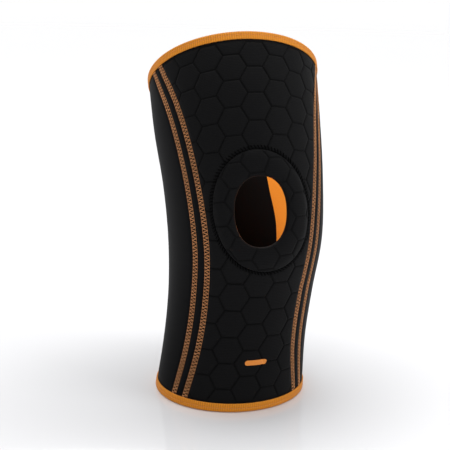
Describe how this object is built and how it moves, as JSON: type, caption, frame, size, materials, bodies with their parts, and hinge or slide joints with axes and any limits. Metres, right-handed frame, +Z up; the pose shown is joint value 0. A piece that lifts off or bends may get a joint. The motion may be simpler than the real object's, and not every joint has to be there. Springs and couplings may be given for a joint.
{
  "type": "knee sleeve",
  "caption": "Pull-on knee sleeve with a hexagon-padded front, an open kneecap with a padded ring, and bound hems.",
  "frame": {"origin": "middle of the sleeve's box on the surface it stands on", "axes": "+Z up along the shin, the front of the knee faces -Y, +X is to the right seen from the front"},
  "size_m": [0.1406, 0.1694, 0.2901],
  "materials": {
    "padded_knit": "satin",
    "plain_knit": "matte",
    "orange_knit": "matte",
    "orange_tape": "satin"
  },
  "bodies": {
    "root": {"front_panel": "padded_knit", "patella_ring": "padded_knit", "strip_right": "plain_knit", "strip_left": "plain_knit", "side_right": "plain_knit", "side_left": "plain_knit", "back_panel": "plain_knit", "lining": "orange_knit", "binding_top": "orange_tape", "binding_bottom": "orange_tape"}
  },
  "joints": []
}
